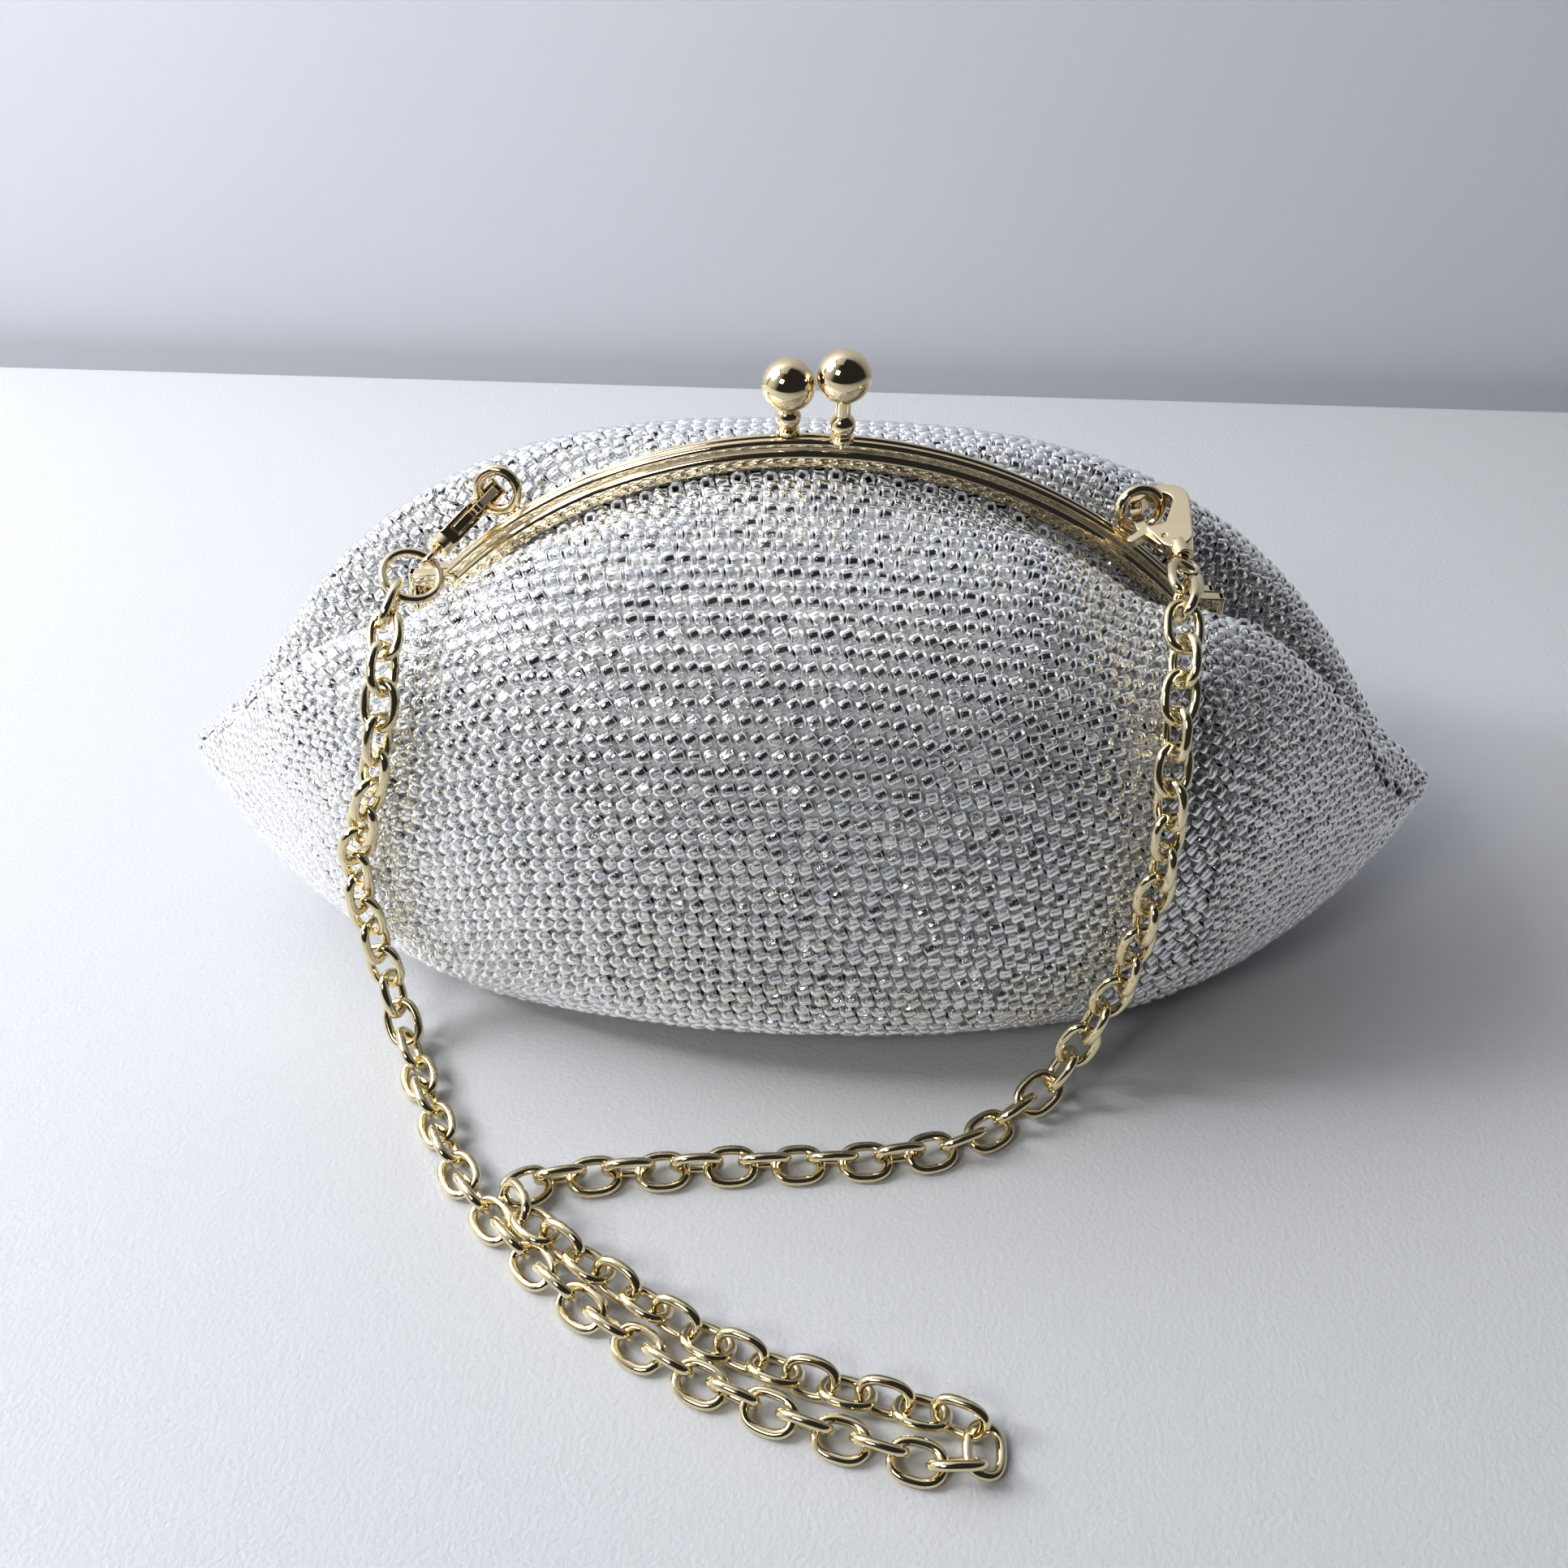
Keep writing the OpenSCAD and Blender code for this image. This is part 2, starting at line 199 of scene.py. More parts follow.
def gold(name, base, low=0.10, high=0.22, wear=0.5):
    """Polished pale gold plating: a warm metal with fine hairlines, faint dulling and tiny pits."""
    mt, nt, out = material(name)
    p = node(nt, "ShaderNodeBsdfPrincipled", Metallic=1.0)
    tc = nt.nodes.new("ShaderNodeTexCoord")
    big = node(nt, "ShaderNodeTexNoise", Scale=220.0, Detail=3.0)
    fine = node(nt, "ShaderNodeTexNoise", Scale=2600.0, Detail=2.0)
    nt.links.new(tc.outputs["Object"], big.inputs["Vector"])
    nt.links.new(tc.outputs["Object"], fine.inputs["Vector"])
    rough = nt.nodes.new("ShaderNodeMapRange")
    rough.inputs["From Min"].default_value = 0.35
    rough.inputs["From Max"].default_value = 0.70
    rough.inputs["To Min"].default_value = low
    rough.inputs["To Max"].default_value = high
    nt.links.new(big.outputs["Fac"], rough.inputs["Value"])
    nt.links.new(rough.outputs["Result"], p.inputs["Roughness"])
    mix = nt.nodes.new("ShaderNodeMix")
    mix.data_type = "RGBA"
    mix.inputs["A"].default_value = (*base, 1)
    mix.inputs["B"].default_value = (base[0] * 0.90, base[1] * 0.86, base[2] * 0.78, 1)
    ramp = nt.nodes.new("ShaderNodeMapRange")
    ramp.inputs["From Min"].default_value = 0.45
    ramp.inputs["From Max"].default_value = 0.75
    ramp.inputs["To Max"].default_value = wear
    nt.links.new(big.outputs["Fac"], ramp.inputs["Value"])
    nt.links.new(ramp.outputs["Result"], mix.inputs["Factor"])
    nt.links.new(mix.outputs["Result"], p.inputs["Base Color"])
    bump = node(nt, "ShaderNodeBump", Strength=0.03, Distance=0.00003)
    nt.links.new(fine.outputs["Fac"], bump.inputs["Height"])
    nt.links.new(bump.outputs["Normal"], p.inputs["Normal"])
    nt.links.new(p.outputs["BSDF"], out.inputs["Surface"])
    return mt


GOLD = gold("plating", (0.84, 0.70, 0.46), 0.045, 0.12)
GOLD_CHAIN = gold("plating_chain", (0.85, 0.73, 0.47), 0.06, 0.14)


def steel():
    mt, nt, out = material("spring_wire")
    p = node(nt, "ShaderNodeBsdfPrincipled", Metallic=1.0)
    tc = nt.nodes.new("ShaderNodeTexCoord")
    no = node(nt, "ShaderNodeTexNoise", Scale=900.0, Detail=2.0)
    nt.links.new(tc.outputs["Object"], no.inputs["Vector"])
    ramp = nt.nodes.new("ShaderNodeValToRGB")
    ramp.color_ramp.elements[0].color = (0.42, 0.42, 0.43, 1)
    ramp.color_ramp.elements[1].color = (0.62, 0.62, 0.63, 1)
    nt.links.new(no.outputs["Fac"], ramp.inputs["Fac"])
    nt.links.new(ramp.outputs["Color"], p.inputs["Base Color"])
    mr = nt.nodes.new("ShaderNodeMapRange")
    mr.inputs["To Min"].default_value = 0.2
    mr.inputs["To Max"].default_value = 0.45
    nt.links.new(no.outputs["Fac"], mr.inputs["Value"])
    nt.links.new(mr.outputs["Result"], p.inputs["Roughness"])
    nt.links.new(p.outputs["BSDF"], out.inputs["Surface"])
    return mt


STEEL = steel()


def glass():
    mt, nt, out = material("bead_glass")
    p = node(nt, "ShaderNodeBsdfPrincipled", IOR=1.5)
    p.inputs["Transmission Weight"].default_value = 1.0
    tc = nt.nodes.new("ShaderNodeTexCoord")
    no = node(nt, "ShaderNodeTexNoise", Scale=420.0, Detail=2.0)
    nt.links.new(tc.outputs["Object"], no.inputs["Vector"])
    at = nt.nodes.new("ShaderNodeAttribute")
    at.attribute_name = "bead"
    ramp = nt.nodes.new("ShaderNodeValToRGB")
    ramp.color_ramp.elements[0].color = (0.90, 0.92, 0.96, 1)
    ramp.color_ramp.elements[1].color = (0.99, 0.98, 0.95, 1)
    nt.links.new(at.outputs["Fac"], ramp.inputs["Fac"])
    nt.links.new(ramp.outputs["Color"], p.inputs["Base Color"])
    mr = nt.nodes.new("ShaderNodeMapRange")
    mr.inputs["From Min"].default_value = 0.3
    mr.inputs["From Max"].default_value = 0.7
    mr.inputs["To Min"].default_value = 0.0
    mr.inputs["To Max"].default_value = 0.06
    nt.links.new(no.outputs["Fac"], mr.inputs["Value"])
    nt.links.new(mr.outputs["Result"], p.inputs["Roughness"])
    bump = node(nt, "ShaderNodeBump", Strength=0.12, Distance=0.0002)
    nt.links.new(no.outputs["Fac"], bump.inputs["Height"])
    nt.links.new(bump.outputs["Normal"], p.inputs["Normal"])
    clear = nt.nodes.new("ShaderNodeBsdfTransparent")
    clear.inputs["Color"].default_value = (0.88, 0.89, 0.90, 1)
    lp = nt.nodes.new("ShaderNodeLightPath")
    mixs = nt.nodes.new("ShaderNodeMixShader")
    nt.links.new(lp.outputs["Is Shadow Ray"], mixs.inputs["Fac"])
    nt.links.new(p.outputs["BSDF"], mixs.inputs[1])
    nt.links.new(clear.outputs["BSDF"], mixs.inputs[2])
    nt.links.new(mixs.outputs["Shader"], out.inputs["Surface"])
    return mt


def silver():
    """The silver lining of a bead's square hole, a little different from bead to bead."""
    mt, nt, out = material("bead_silver")
    p = node(nt, "ShaderNodeBsdfPrincipled", Metallic=1.0)
    at = nt.nodes.new("ShaderNodeAttribute")
    at.attribute_name = "bead"
    ramp = nt.nodes.new("ShaderNodeValToRGB")
    ramp.color_ramp.elements[0].color = (0.72, 0.72, 0.74, 1)
    ramp.color_ramp.elements[1].color = (0.97, 0.96, 0.93, 1)
    nt.links.new(at.outputs["Fac"], ramp.inputs["Fac"])
    nt.links.new(ramp.outputs["Color"], p.inputs["Base Color"])
    mr = nt.nodes.new("ShaderNodeMapRange")
    mr.inputs["To Min"].default_value = 0.03
    mr.inputs["To Max"].default_value = 0.16
    nt.links.new(at.outputs["Fac"], mr.inputs["Value"])
    nt.links.new(mr.outputs["Result"], p.inputs["Roughness"])
    tc = nt.nodes.new("ShaderNodeTexCoord")
    no = node(nt, "ShaderNodeTexNoise", Scale=1500.0, Detail=1.0)
    nt.links.new(tc.outputs["Object"], no.inputs["Vector"])
    bump = node(nt, "ShaderNodeBump", Strength=0.25, Distance=0.0001)
    nt.links.new(no.outputs["Fac"], bump.inputs["Height"])
    nt.links.new(bump.outputs["Normal"], p.inputs["Normal"])
    nt.links.new(p.outputs["BSDF"], out.inputs["Surface"])
    return mt


def rim():
    """The ground end of a bead: whiter and duller than its sides."""
    mt, nt, out = material("bead_end")
    p = node(nt, "ShaderNodeBsdfPrincipled", IOR=1.5)
    p.inputs["Transmission Weight"].default_value = 0.62
    at = nt.nodes.new("ShaderNodeAttribute")
    at.attribute_name = "bead"
    ramp = nt.nodes.new("ShaderNodeValToRGB")
    ramp.color_ramp.elements[0].color = (0.84, 0.85, 0.88, 1)
    ramp.color_ramp.elements[1].color = (0.98, 0.97, 0.95, 1)
    nt.links.new(at.outputs["Fac"], ramp.inputs["Fac"])
    nt.links.new(ramp.outputs["Color"], p.inputs["Base Color"])
    tc = nt.nodes.new("ShaderNodeTexCoord")
    no = node(nt, "ShaderNodeTexNoise", Scale=1800.0, Detail=2.0)
    nt.links.new(tc.outputs["Object"], no.inputs["Vector"])
    mr = nt.nodes.new("ShaderNodeMapRange")
    mr.inputs["To Min"].default_value = 0.12
    mr.inputs["To Max"].default_value = 0.34
    nt.links.new(no.outputs["Fac"], mr.inputs["Value"])
    nt.links.new(mr.outputs["Result"], p.inputs["Roughness"])
    bump = node(nt, "ShaderNodeBump", Strength=0.3, Distance=0.0001)
    nt.links.new(no.outputs["Fac"], bump.inputs["Height"])
    nt.links.new(bump.outputs["Normal"], p.inputs["Normal"])
    nt.links.new(p.outputs["BSDF"], out.inputs["Surface"])
    return mt


def thread_cloth(name, base, dark, scale, rough=0.75, sheen=0.3):
    """Knitted or woven thread: fine crossing ridges, uneven colour, a soft sheen."""
    mt, nt, out = material(name)
    p = node(nt, "ShaderNodeBsdfPrincipled", Roughness=rough)
    p.inputs["Sheen Weight"].default_value = sheen
    tc = nt.nodes.new("ShaderNodeTexCoord")
    w1 = node(nt, "ShaderNodeTexWave", Scale=scale, Distortion=2.0, Detail=2.0)
    w2 = node(nt, "ShaderNodeTexWave", Scale=scale, Distortion=2.0, Detail=2.0)
    w1.bands_direction = "X"
    w2.bands_direction = "Z"
    for w in (w1, w2):
        nt.links.new(tc.outputs["Object"], w.inputs["Vector"])
    mx = nt.nodes.new("ShaderNodeMath")
    mx.operation = "MAXIMUM"
    nt.links.new(w1.outputs["Fac"], mx.inputs[0])
    nt.links.new(w2.outputs["Fac"], mx.inputs[1])
    no = node(nt, "ShaderNodeTexNoise", Scale=90.0, Detail=4.0)
    nt.links.new(tc.outputs["Object"], no.inputs["Vector"])
    add = nt.nodes.new("ShaderNodeMath")
    add.operation = "MULTIPLY"
    nt.links.new(mx.outputs["Value"], add.inputs[0])
    nt.links.new(no.outputs["Fac"], add.inputs[1])
    ramp = nt.nodes.new("ShaderNodeValToRGB")
    ramp.color_ramp.elements[0].position = 0.1
    ramp.color_ramp.elements[0].color = (*dark, 1)
    ramp.color_ramp.elements[1].position = 0.6
    ramp.color_ramp.elements[1].color = (*base, 1)
    nt.links.new(add.outputs["Value"], ramp.inputs["Fac"])
    nt.links.new(ramp.outputs["Color"], p.inputs["Base Color"])
    bump = node(nt, "ShaderNodeBump", Strength=0.5, Distance=0.0003)
    nt.links.new(mx.outputs["Value"], bump.inputs["Height"])
    nt.links.new(bump.outputs["Normal"], p.inputs["Normal"])
    nt.links.new(p.outputs["BSDF"], out.inputs["Surface"])
    return mt


GLASS, SILVER, RIM = glass(), silver(), rim()
KNIT = thread_cloth("knit_thread", (0.84, 0.84, 0.85), (0.50, 0.50, 0.52), 260.0)
SATIN = thread_cloth("satin_lining", (0.55, 0.55, 0.58), (0.38, 0.38, 0.41), 900.0, 0.35, 0.5)
STRIP = thread_cloth("edge_strip", (0.62, 0.60, 0.56), (0.35, 0.33, 0.30), 700.0)

for name, ob in NODES.items():
    if "frame" in name or "knob" in name or name in ("left_loop_ring", "right_loop_ring", "jump_ring", "hinge_rivets"):
        mt = GOLD
    elif "strip" in name:
        mt = STRIP
    elif "spring" in name:
        mt = STEEL
    elif "lever" in name and "pin" not in name:
        mt = GOLD
    elif name in ("pouch", "lining", "chain"):
        mt = KNIT
    else:
        mt = GOLD
    if not ob.material_slots:
        ob.data.materials.append(mt)
    for sl in ob.material_slots:
        sl.material = mt

# ------------------------------------------------------------------ frame bars
def angles_sharp(poly, limit=42.0):
    a = unit(poly - np.roll(poly, 1, 0))
    b = unit(np.roll(poly, -1, 0) - poly)
    return np.degrees(np.arccos(np.clip((a * b).sum(1), -1, 1))) > limit


# one frame bar's section: depth from the inner face, radius from the arc's centre
BAR = np.array([
    [0.0, 94.75], [0.0, 96.5], [0.0, 98.4], [0.02, 99.25], [0.14, 99.66], [0.42, 99.92], [0.80, 100.0], [1.18, 99.92],
    [1.48, 99.68], [1.66, 99.34], [1.71, 98.95], [1.62, 98.60], [1.50, 98.36], [1.50, 98.16], [1.66, 98.02], [1.96, 97.90],
    [2.24, 97.62], [2.41, 97.20], [2.49, 96.70], [2.50, 96.20], [2.46, 95.66], [2.36, 95.18], [2.22, 94.82], [2.06, 94.60],
    [1.93, 94.55], [1.90, 94.70], [1.90, 97.30], [0.62, 97.30], [0.62, 94.70], [0.58, 94.54], [0.40, 94.50], [0.14, 94.56],
])


def prism(outline, x0, w, bevel):
    """A plate across X from x0, w thick, with an outline in Y and Z; bevel is not used."""
    n = len(outline)
    a = np.column_stack([np.full(n, x0), outline])
    b = np.column_stack([np.full(n, x0 + w), outline])
    i = np.arange(n)
    j = (i + 1) % n
    return np.vstack([a, b]), np.stack([i, j, j + n, i + n], 1), i[None, ::-1], (i + n)[None]


def frame_bar(name, s, x0, top):
    ang = np.radians(np.linspace(-47, 47, 221))
    y = s * (0.1 + BAR[:, 0])
    v = np.stack([np.sin(ang)[:, None] * BAR[None, :, 1], np.broadcast_to(y, (len(ang), len(BAR))), ARC_Z + np.cos(ang)[:, None] * BAR[None, :, 1]], -1)
    n, k = len(BAR), len(ang)
    i, j = np.meshgrid(np.arange(k - 1), np.arange(n), indexing="ij")
    j2 = (j + 1) % n
    quad = np.stack([i * n + j, i * n + j2, (i + 1) * n + j2, (i + 1) * n + j], -1).reshape(-1, 4)
    if s > 0:
        quad = quad[:, ::-1]
    caps = np.stack([np.arange(n), (k - 1) * n + np.arange(n)[::-1]])
    if s < 0:
        caps = caps[:, ::-1]
    hard = angles_sharp(BAR)

    def sharp(e):
        a, b = e[:, 0], e[:, 1]
        along = (a % n) == (b % n)
        end = ((a // n == b // n) & ((a // n == 0) | (a // n == k - 1)))
        return (along & hard[a % n]) | end

    bar = add_mesh(name, v.reshape(-1, 3) * MM, [quad, caps], [GOLD], None, True, sharp)
    parts = [bar]
    for side in (-1, 1):
        th = np.radians(np.linspace(-180, 0, 33))
        ring = np.stack([3.4 * np.cos(th), 77.3 + 3.4 * np.sin(th)], 1)
        yo, yi = s * 2.6, s * 0.1
        hi = np.array([[3.4, 78.6], [max(yo, yi) + 0.1, 80.9], [max(yo, yi), top], [min(yo, yi), top], [min(yo, yi) - 0.1, 80.9], [-3.4, 78.6]])
        outline = np.vstack([ring, hi])
        lo = x0 if side > 0 else -x0 - 1.3
        for k_, (ol, a, w) in enumerate((
                (outline, lo, 1.3),
                (np.array([[min(yo, yi), 80.9], [max(yo, yi), 80.9], [max(yo, yi), 83.6], [min(yo, yi), 83.6]]), 70.6 if side > 0 else -x0 - 1.3, x0 + 1.3 - 70.6))):
            pv, sides, c1, c2 = prism(ol, a, w, 0.3)
            ob = add_mesh(f"{name}_lug{side}{k_}", pv * MM, [sides, c1, c2], [GOLD], None, True)
            bv = ob.modifiers.new("round", "BEVEL")
            bv.width = 0.00034
            bv.segments = 4
            bv.limit_method = "ANGLE"
            bv.angle_limit = math.radians(35)
            parts.append(baked(ob))
    return joined(parts, name)


def baked(ob):
    """Apply an object's modifiers to its mesh."""
    dg = bpy.context.evaluated_depsgraph_get()
    me = bpy.data.meshes.new_from_object(ob.evaluated_get(dg))
    ob.modifiers.clear()
    ob.data = me
    return ob


def joined(parts, name):
    import bmesh
    bm = bmesh.new()
    for ob in parts:
        bm.from_mesh(ob.data)
    keep = parts[0]
    bm.to_mesh(keep.data)
    bm.free()
    for ob in parts[1:]:
        bpy.data.objects.remove(ob)
    keep.name = name
    return keep


for nm, s_, x0_, cad, body in (("front_bar", -1, 78.5, "front_frame", "front_half"), ("back_bar", 1, 76.9, "back_frame", "bag")):
    bar = frame_bar(nm, s_, x0_, 83.6)
    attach(bar, body)
    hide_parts(cad)


# ------------------------------------------------------------------ cast clasps
def casting(cad, body, voxel, rounds, swell, frame_of=None):
    """A cast and tumbled copy of a plate: its edges melt into round ones."""
    ob = bpy.data.objects.new("cast_" + cad, NODES[cad].data.copy())
    bpy.context.scene.collection.objects.link(ob)
    if frame_of is not None:
        base, ux, uy, uz, sx, sz = frame_of
        co = np.zeros(len(ob.data.vertices) * 3)
        ob.data.vertices.foreach_get("co", co)
        q = co.reshape(-1, 3) - base
        lx_, ly_, lz_ = q @ ux, q @ uy, q @ uz
        q = base + (lx_ * sx)[:, None] * ux + ly_[:, None] * uy + (lz_ * sz)[:, None] * uz
        ob.data.vertices.foreach_set("co", q.ravel())
    rm = ob.modifiers.new("skin", "REMESH")
    rm.mode = "VOXEL"
    rm.voxel_size = voxel * MM
    sm = ob.modifiers.new("soften", "SMOOTH")
    sm.factor = 0.5
    sm.iterations = rounds
    if swell:
        dp = ob.modifiers.new("swell", "DISPLACE")
        dp.strength = swell * MM
        dp.mid_level = 0.0
    baked(ob)
    ob.data.materials.clear()
    ob.data.materials.append(GOLD)
    ob.data.polygons.foreach_set("material_index", np.zeros(len(ob.data.polygons), np.int32))
    ob.data.polygons.foreach_set("use_smooth", np.ones(len(ob.data.polygons), bool))
    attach(ob, body)
    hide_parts(cad)
    return ob


def side_of(c, y):
    return -unit(c - (c @ y) * y)


CLASP = {}
for s_, base_, y_, c_, k_ in (("left", [-70.65, -10.87, 95.3], [0.443, 0.880, 0.175], [0.195, -0.847, 0.497], -1),
                              ("right", [67.2, -11.24, 98.0], [-0.160, 0.974, 0.155], [0.95, 0.22, 0.27], -1)):
    uy_ = unit(np.array(y_))
    ux_ = side_of(np.array(c_), uy_) * (-1 if s_ == "left" else -1)
    CLASP[s_] = (np.array(base_) * MM, ux_, uy_, np.cross(ux_, uy_), 1.16, 1.22)
    casting(s_ + "_clasp_body", s_ + "_clasp", 0.11, 16, 0.07, CLASP[s_])
    casting(s_ + "_lever", s_ + "_trigger", 0.09, 8, 0.03, CLASP[s_])

# ------------------------------------------------------------------ chain
# the route of the cord solid in the CAD part, millimetres
ROUTE = np.array([
    [-78, -27, 90], [-77.5, -31.5, 87.5], [-77.5, -36, 84], [-78, -39.5, 79], [-79, -42.5, 70.5],
    [-81.5, -44, 61], [-85.5, -43.5, 49], [-87, -43, 38.5], [-86.5, -43, 29], [-85, -44, 20],
    [-83, -46.5, 11], [-80, -52, 4], [-75.5, -62, 2.5], [-64.5, -83, 2.5], [-55, -95, 2.5],
    [-40, -109.5, 2.5], [-19.5, -123, 2.5], [-1.5, -131, 2.5], [15, -136, 2.5], [25.5, -138.6, 2.5],
    [30.5, -138.2, 2.5], [32.8, -135, 2.5], [29.5, -131, 2.5], [16.5, -127.6, 2.5], [4, -124.4, 2.5],
    [-7.5, -120.4, 2.6], [-19.5, -114.8, 3.2], [-31.5, -107.6, 4.2], [-43, -99.8, 5.2], [-50, -94.2, 5],
    [-52.6, -90.4, 4.2], [-50, -86.8, 3.2], [-41, -83.8, 2.6], [-23, -81.2, 2.5], [3, -78.5, 2.5],
    [20, -76.5, 2.5], [33, -72, 2.5], [44, -64, 3.5], [50, -59.5, 7], [54, -57.5, 14],
    [58, -55.5, 23], [61.5, -54, 31.5], [64, -52.7, 50], [65, -51.5, 61], [64.5, -49.5, 71],
    [64.5, -47, 76.5], [64.5, -43.5, 83.5], [65, -39.5, 88.5], [65.5, -36, 92], [65.5, -31, 95.5],
    [66, -27, 97.3],
], float)


def smooth_line(p, step=0.5):
    """A Catmull-Rom line through the points, respaced evenly."""
    q = np.vstack([2 * p[0] - p[1], p, 2 * p[-1] - p[-2]])
    out = []
    for i in range(1, len(q) - 2):
        t = np.linspace(0, 1, 24, endpoint=False)[:, None]
        a, b, c, d = q[i - 1], q[i], q[i + 1], q[i + 2]
        out.append(0.5 * (2 * b + (c - a) * t + (2 * a - 5 * b + 4 * c - d) * t**2 + (3 * b - a - 3 * c + d) * t**3))
    line = np.vstack([*out, p[-1:]])
    s = np.concatenate([[0], np.cumsum(np.linalg.norm(np.diff(line, axis=0), axis=1))])
    at = np.linspace(0, s[-1], int(s[-1] / step) + 1)
    return np.stack([np.interp(at, s, line[:, k]) for k in range(3)], 1), at


def box_mid(name):
    lo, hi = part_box(name)
    return np.array([(lo[k] + hi[k]) / 2 * 1000 for k in range(3)])


LINK_L, LINK_W, WIRE, PITCH = 10.6, 8.1, 0.93, 6.42


def link_mesh(n_path=28, n_wire=10):
    """One oval link in its own axes: long along X, wide along Y."""
    a, b = LINK_L / 2 - WIRE, LINK_W / 2 - WIRE
    th = np.linspace(0, 2 * math.pi, n_path, endpoint=False)
    ex = 2 / 2.5
    cx = a * np.sign(np.cos(th)) * np.abs(np.cos(th)) ** ex
    cy = b * np.sign(np.sin(th)) * np.abs(np.sin(th)) ** ex
    line = np.stack([cx, cy, 0 * cx], 1)
    tan = unit(np.roll(line, -1, 0) - np.roll(line, 1, 0))
    nor = np.stack([tan[:, 1], -tan[:, 0], 0 * cx], 1)
    ph = np.linspace(0, 2 * math.pi, n_wire, endpoint=False)
    v = line[:, None, :] + WIRE * (np.cos(ph)[None, :, None] * nor[:, None, :] + np.sin(ph)[None, :, None] * np.array([0, 0, 1.0]))
    v = v.reshape(-1, 3)
    i, j = np.meshgrid(np.arange(n_path), np.arange(n_wire), indexing="ij")
    i2, j2 = (i + 1) % n_path, (j + 1) % n_wire
    f = np.stack([i * n_wire + j, i * n_wire + j2, i2 * n_wire + j2, i2 * n_wire + j], -1).reshape(-1, 4)
    return v, f


route = ROUTE.copy()
route[:, 2] += 0.45 * np.clip((6 - route[:, 2]) / 3, 0, 1)
jump_lo, jump_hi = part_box("jump_ring")
start = np.array([jump_lo[0] * 1000 + 3.6, jump_lo[1] * 1000 + 1.6, jump_lo[2] * 1000 + 1.9])
eye = box_mid("right_swivel_eye")
route = np.vstack([start, route, np.array([eye[0] - 0.6, eye[1] - 3.5, eye[2] - 0.3])])
line, along = smooth_line(route)
n_links = int((along[-1] - 1.5) / PITCH)
pitch = (along[-1] - 4.6) / (n_links - 1) if n_links > 1 else PITCH
link_v, link_f = link_mesh(32, 12)
cv, cf = [], []
side = np.array([0.0, 0.0, 1.0])
for k in range(n_links):
    s = 2.4 + k * pitch
    p = np.array([np.interp(s, along, line[:, q]) for q in range(3)])
    ahead = np.array([np.interp(s + 2.2, along, line[:, q]) for q in range(3)])
    behind = np.array([np.interp(s - 2.2, along, line[:, q]) for q in range(3)])
    t = unit(ahead - behind)
    # an upward or outward direction that stays steady along the run
    ref = np.array([0.0, -0.62, 0.78]) if p[2] > 8 else np.array([0.0, 0.0, 1.0])
    n = unit(ref - (ref @ t) * t)
    b = np.cross(n, t)
    # links lie in turn nearly flat and nearly upright
    ang = math.radians((24 if k % 2 else -64) + rng.uniform(-8, 8))
    if k == 0:
        ang = math.radians(80)
    w = math.cos(ang) * b + math.sin(ang) * n
    h = np.cross(t, w)
    rest = abs(w[2]) * (LINK_W / 2 - WIRE) + WIRE + 0.03
    if p[2] < 6:
        p = p + np.array([0, 0, (rest - 2.95) * min(1.0, (6 - p[2]) / 2)])
    cf.append(link_f + len(link_v) * k)
    cv.append(p + link_v[:, :1] * t + link_v[:, 1:2] * w + link_v[:, 2:3] * h)
chain = add_mesh("chain_links", np.vstack(cv) * MM, [np.vstack(cf)], [GOLD_CHAIN])
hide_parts("chain")
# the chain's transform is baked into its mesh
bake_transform(chain)

# ------------------------------------------------------------------ rows of the beadwork
XS = np.linspace(-129.6, 129.6, 541)
ROW, STEP = 3.08, 2.98
INSET = 1.55


def section(x, t, back=False):
    """Front section at x from the mouth edge down to the middle of the underside, with its arc length."""
    a = np.linspace(90, 270, 420)
    p = pouch(x, a, t, not back)
    lip = 1.9 - 1.6 * float(np.clip((abs(x) - 72) / 3.5, 0, 1))
    i = int(np.argmax(-p[:, 1] >= lip))
    p = p[i:]
    s = np.concatenate([[0], np.cumsum(np.linalg.norm(np.diff(p, axis=0), axis=1))])
    return p, s


def rows(back=False):
    secs = [section(x, INSET, back) for x in XS]
    length = np.array([s[-1] for _, s in secs])
    l0 = length[len(XS) // 2]
    squeeze = 1 - 0.22 * (1 - length / l0)
    n = int(l0 / ROW) + 1
    table = np.full((n, len(XS), 3), np.nan)
    for k in range(n):
        want = (k + 0.5) * ROW * squeeze - 0.85
        for i, (p, s) in enumerate(secs):
            if want[i] < s[-1] - 0.9:
                table[k, i] = [np.interp(want[i], s, p[:, q]) for q in range(3)]
    return table, squeeze


